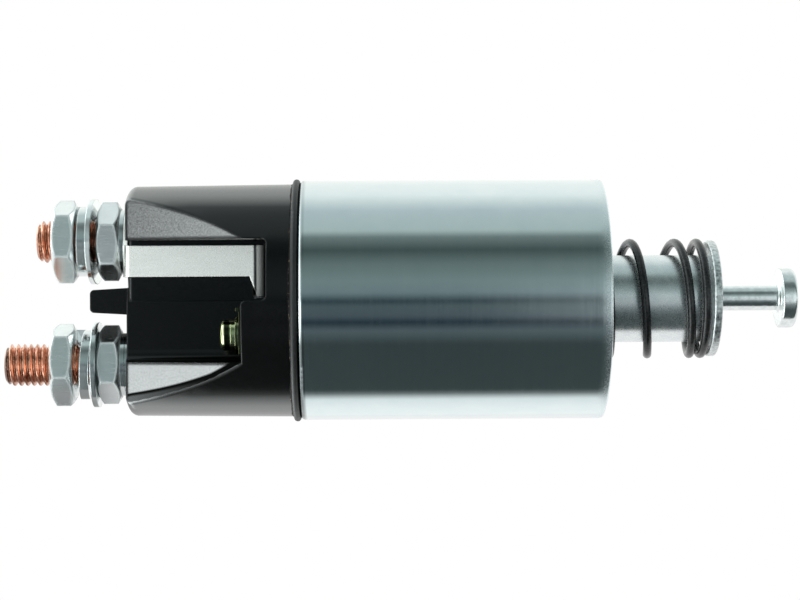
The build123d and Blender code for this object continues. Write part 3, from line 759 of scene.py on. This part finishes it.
def make_materials():
    """One material for each of the record's slots, and the looks of single nodes."""
    shaders = {
        "zinc_shell": can_zinc(),
        "zinc_hardware": hardware_zinc(),
        "nuts": nut_zinc(),
        "plunger_zinc": plunger_zinc(),
        "seat": seat_zinc(),
        "rod_zinc": rod_zinc(),
        "core_steel": core_steel(),
        "spring_wire": spring_wire(),
        "tinned_strip": tinned_strip(),
        "yellow_zinc": yellow_zinc(),
        "plate": olive_zinc(),
        "copper": copper(),
        "brass": brass(),
        "winding_wire": winding_wire(),
        "black_moulding": black_moulding(),
        "bobbin_plastic": nylon(),
        "wrap_paper": woven_tape(),
        "insulator": brown_phenolic(),
        "rubber": rubber(),
    }
    return {look: shader.material for look, shader in shaders.items()}


def mesh_piece(name, verts, faces, material, body):
    """A smooth mesh object that rides on a body."""
    mesh = bpy.data.meshes.new(name)
    mesh.from_pydata([tuple(v) for v in verts], [], faces)
    bm = bmesh.new()
    bm.from_mesh(mesh)
    bmesh.ops.recalc_face_normals(bm, faces=bm.faces)
    bm.to_mesh(mesh)
    bm.free()
    mesh.materials.append(material)
    piece = bpy.data.objects.new(name, mesh)
    bpy.context.scene.collection.objects.link(piece)
    for polygon in mesh.polygons:
        polygon.use_smooth = True
    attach(piece, body)
    return piece


def band_faces(rows, columns):
    """Quads of a closed band: rows of points, each row a ring."""
    faces = []
    for row in range(rows - 1):
        for column in range(columns):
            after = (column + 1) % columns
            first = row * columns
            second = (row + 1) * columns
            faces.append((first + column, first + after, second + after, second + column))
    return faces


def closed_faces(rows, columns):
    """A closed band's quads, and a face over each of its ends."""
    faces = band_faces(rows, columns)
    for start in (0, (rows - 1) * columns):
        faces.append(tuple(range(start, start + columns)))
    return faces


def thread_radius(x, angle, x_tip, crest):
    """Radius of a rolled thread with round crests and roots, run out at the tip's bevel."""
    share = (x - x_tip) / STUD_PITCH + angle / (2 * math.pi)
    wave = 0.5 - 0.5 * math.cos(2 * math.pi * share)
    radius = crest - STUD_THREAD_DEPTH * wave
    bevel = crest - STUD_TIP_BEVEL + (x - x_tip)
    return min(radius, bevel)


def thread_points(x_tip, x_head, centre_z, rows):
    """Rings of points of a stud's thread, from its tip to its head."""
    crest = STUD_RADIUS - STUD_CREST_GAP
    points = []
    for row in range(rows):
        x = x_tip + (x_head - x_tip) * row / (rows - 1)
        for column in range(THREAD_COLUMNS):
            angle = 2 * math.pi * column / THREAD_COLUMNS
            radius = thread_radius(x, angle, x_tip, crest)
            points.append((x, -radius * math.cos(angle), centre_z + radius * math.sin(angle)))
    return points


def head_outline(half_y, half_z, centre_z):
    """Outline of a stud's square head, as Y and Z."""
    corner = STUD_HEAD_CORNER
    outline = []
    for turn, (sign_y, sign_z) in enumerate(((1, 1), (-1, 1), (-1, -1), (1, -1))):
        for step in range(STUD_CORNER_STEPS + 1):
            angle = math.pi / 2 * (turn + step / STUD_CORNER_STEPS)
            y = sign_y * (half_y - corner) + corner * math.cos(angle)
            z = sign_z * (half_z - corner) + corner * math.sin(angle)
            outline.append((y, centre_z + z))
    return outline


def stud_piece(node, material):
    """Threaded stud with its contact head, in the place of the plain CAD stud."""
    low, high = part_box(node)
    centre_z = (low.z + high.z) / 2
    head_x = high.x - STUD_HEAD_THICKNESS
    rows = round((head_x - low.x) / STUD_PITCH * THREAD_ROWS_PER_PITCH) + 1
    verts = thread_points(low.x, head_x, centre_z, rows)
    faces = closed_faces(rows, THREAD_COLUMNS)
    start = len(verts)
    outline = head_outline((high.y - low.y) / 2, (high.z - low.z) / 2, centre_z)
    verts.extend((x, y, z) for x in (head_x, high.x) for y, z in outline)
    faces.extend(tuple(start + i for i in face) for face in closed_faces(2, len(outline)))
    piece = mesh_piece(f"{node}_threaded", verts, faces, material, "housing")
    piece.data.set_sharp_from_angle(angle=math.radians(STUD_SHARP_EDGE_DEG))
    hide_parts(node)


def closing_rise(turn, length, turns, end_pitch):
    """How far a spring has come after a number of turns, with a pitch that grows towards its middle."""
    half = turns / 2
    middle = end_pitch + 2 * (length - turns * end_pitch) / turns
    near = min(turn, turns - turn)
    share = near / half
    rise = end_pitch * near + (middle - end_pitch) * half * (share**3 - share**4 / 2)
    return rise if turn <= half else length - rise


def stepped_rise(turn, steps):
    """How far a spring has come after a number of turns, smoothly through the given steps."""
    last = len(steps) - 1
    index = max(i for i in range(last) if steps[i][0] <= turn or i == 0)

    def slope(i):
        before = steps[max(i - 1, 0)]
        after = steps[min(i + 1, last)]
        return (after[1] - before[1]) / (after[0] - before[0])

    (start, low), (end, high) = steps[index], steps[index + 1]
    width = end - start
    share = (turn - start) / width
    rest = 1 - share
    first = low * (1 + 2 * share) * rest**2 + width * slope(index) * share * rest**2
    second = high * share**2 * (3 - 2 * share) - width * slope(index + 1) * share**2 * rest
    return first + second


def spring_line(node, x_first, x_last, radius, turns, end_pitch, end_turn):
    """Centreline of a spring as points."""
    length = x_last - x_first
    points = []
    count = round(turns * SPRING_POINTS_PER_TURN)
    for number in range(count + 1):
        turn = turns * number / count
        angle = 2 * math.pi * (end_turn - turns + turn)
        if node == "return_spring":
            scale = length / RETURN_STEPS[-1][1]
            x = x_last - stepped_rise(turns - turn, RETURN_STEPS) * scale
            lean = math.sin(math.pi * (x - x_first) / length)
            x += RETURN_LEAN_MM * MM * lean * math.cos(angle)
        else:
            x = x_first + closing_rise(turn, length, turns, end_pitch)
        points.append(Vector((x, -radius * math.sin(angle), radius * math.cos(angle))))
    return points


def wire_mesh(points, wire):
    """Round wire along points: rings square to the line, and flat ends."""
    verts = []
    for number, point in enumerate(points):
        before = points[max(number - 1, 0)]
        after = points[min(number + 1, len(points) - 1)]
        along = (after - before).normalized()
        outward = Vector((0, point.y, point.z)).normalized()
        side = along.cross(outward).normalized()
        outward = side.cross(along)
        for step in range(SPRING_RING_POINTS):
            angle = 2 * math.pi * step / SPRING_RING_POINTS
            verts.append(point + wire * (outward * math.cos(angle) + side * math.sin(angle)))
    return verts, closed_faces(len(points), SPRING_RING_POINTS)


def spring_piece(deforming, material):
    """A spring in the place of its CAD node, riding on the body that carries it."""
    node = deforming["node"]
    wire_mm, end_pitch_mm, turns, end_turn = SPRINGS[node]
    wire = wire_mm * MM
    end_pitch = end_pitch_mm * MM
    low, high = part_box(node)
    coil_radius = (high.z - low.z) / 2 - wire
    line = spring_line(node, low.x + wire, high.x - wire, coil_radius, turns, end_pitch, end_turn)
    verts, faces = wire_mesh(line, wire)
    bodies = frame["record"]["behaviour"]["bodies"]
    body = next(name for name, nodes in bodies.items() if node in nodes)
    piece = mesh_piece(f"{node}_wire", verts, faces, material, body)
    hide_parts(node)
    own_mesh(piece)


def varnish_piece(material):
    """Thin uneven bead round the cap beside the gasket."""
    gasket_low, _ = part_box("gasket")
    _, cap_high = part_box("cap")
    narrow, wide = BEAD_WIDTH_MM
    verts = []
    for share, height in BEAD_ROWS:
        radius = cap_high.y + (BEAD_GAP_MM + height) * MM
        for number in range(BEAD_POINTS):
            angle = 2 * math.pi * number / BEAD_POINTS
            waves = sum(size * math.sin(count * angle + phase) for count, phase, size in BEAD_WAVES)
            width = narrow + (wide - narrow) * (0.5 + waves)
            x = gasket_low.x - share * width * MM
            verts.append((x, -radius * math.cos(angle), radius * math.sin(angle)))
    faces = band_faces(len(BEAD_ROWS), BEAD_POINTS)
    mesh_piece("varnish_line", verts, faces, material, "housing")


def paint_nodes(materials):
    """Gives each CAD node the material of its slot, or its own."""
    for part in frame["record"]["subparts"]:
        look = OWN_LOOKS.get(part["node"], part["material_slot"])
        for slot in frame["nodes"][part["node"]].material_slots:
            slot.material = materials[look]


def make_world():
    """Room light that depends on the angle round the X axis, and pure white for the camera."""
    world = bpy.data.worlds.new("studio")
    bpy.context.scene.world = world
    world.use_nodes = True
    world.node_tree.nodes.clear()
    t = Tree(world.node_tree)
    direction = t.add("ShaderNodeTexCoord").outputs["Generated"]
    split = t.add("ShaderNodeSeparateXYZ", Vector=direction)
    front = t.sum("MULTIPLY", split.outputs["Y"], -1.0)
    angle = t.sum("ARCTAN2", split.outputs["Z"], front)
    round_axis = t.rise(angle, -math.pi, math.pi)
    along_axis = t.rise(split.outputs["X"], -1.0, 1.0)
    room = t.ramp(round_axis, ROOM_STOPS, -HALF_TURN_DEG, HALF_TURN_DEG)
    light = t.add("ShaderNodeBackground", Color=room).outputs[0]
    for along, around, glow in LAMPS:
        first = t.ramp(along_axis, along, -1.0, 1.0)
        second = t.ramp(round_axis, around, -HALF_TURN_DEG, HALF_TURN_DEG)
        strength = t.sum("MULTIPLY", t.sum("MULTIPLY", first, second), glow)
        lamp = t.add("ShaderNodeBackground", Color=LAMP_COLOUR, Strength=strength)
        light = t.feed("ShaderNodeAddShader", (light, lamp.outputs[0])).outputs[0]
    white = t.add("ShaderNodeBackground", Color=(1.0, 1.0, 1.0)).outputs[0]
    t.add("ShaderNodeOutputWorld", Surface=t.white_to_camera(light, white))


def white_sheet():
    """White sheet that glows, less so beneath the studs, and is pure white for the camera."""
    s = Shader("sheet_white")
    s.tree.nodes.remove(s.surface)
    distance = s.measure("DISTANCE", s.place, SHADOW_CENTRE)
    strength = s.between(distance, SHADOW_GLOW, FLOOR_GLOW, SHADOW_CORE, SHADOW_REACH)
    glow = s.add("ShaderNodeEmission", Strength=strength).outputs[0]
    white = s.add("ShaderNodeEmission", Strength=1.0).outputs[0]
    s.set(s.tree.nodes["Material Output"], "Surface", s.white_to_camera(glow, white))
    return s


def make_studio():
    """White sheet under and behind the object."""
    z = cad_low.z - FLOOR_GAP
    half = FLOOR_SIZE / 2
    front = [(-half, FLOOR_FRONT_Y, z), (half, FLOOR_FRONT_Y, z)]
    back = [(half, FLOOR_SIZE, z), (-half, FLOOR_SIZE, z)]
    mesh = bpy.data.meshes.new("floor_sheet")
    mesh.from_pydata(front + back, [], [(0, 1, 2, 3)])
    mesh.materials.append(white_sheet().material)
    plane = bpy.data.objects.new("floor_sheet", mesh)
    bpy.context.scene.collection.objects.link(plane)


def make_camera():
    """Camera at the photo's viewing angle."""
    data = bpy.data.cameras.new("photo_camera")
    data.sensor_width = SENSOR_WIDTH_MM
    data.lens = FOCAL_PX * SENSOR_WIDTH_MM / PHOTO_WIDTH_PX
    data.clip_start = CAMERA_CLIP_START
    camera = bpy.data.objects.new("photo_camera", data)
    yaw = math.radians(CAMERA_YAW_DEG)
    away = Vector((-math.sin(yaw), -math.cos(yaw), 0.0))
    camera.location = CAMERA_TARGET + CAMERA_DISTANCE * away
    roll = Quaternion((0.0, 0.0, 1.0), math.radians(CAMERA_ROLL_DEG))
    camera.rotation_euler = ((-away).to_track_quat("-Z", "Y") @ roll).to_euler()
    bpy.context.scene.collection.objects.link(camera)
    bpy.context.scene.camera = camera


materials = make_materials()
paint_nodes(materials)
for node in ("motor_stud", "battery_stud"):
    stud_piece(node, materials["copper"])
for joint in frame["record"]["behaviour"]["joints"]:
    for deforming in joint["deforming_nodes"]:
        spring_piece(deforming, materials["spring_wire"])
varnish_piece(varnish().material)

make_world()
make_studio()
make_camera()
bpy.context.scene.view_settings.view_transform = "Standard"
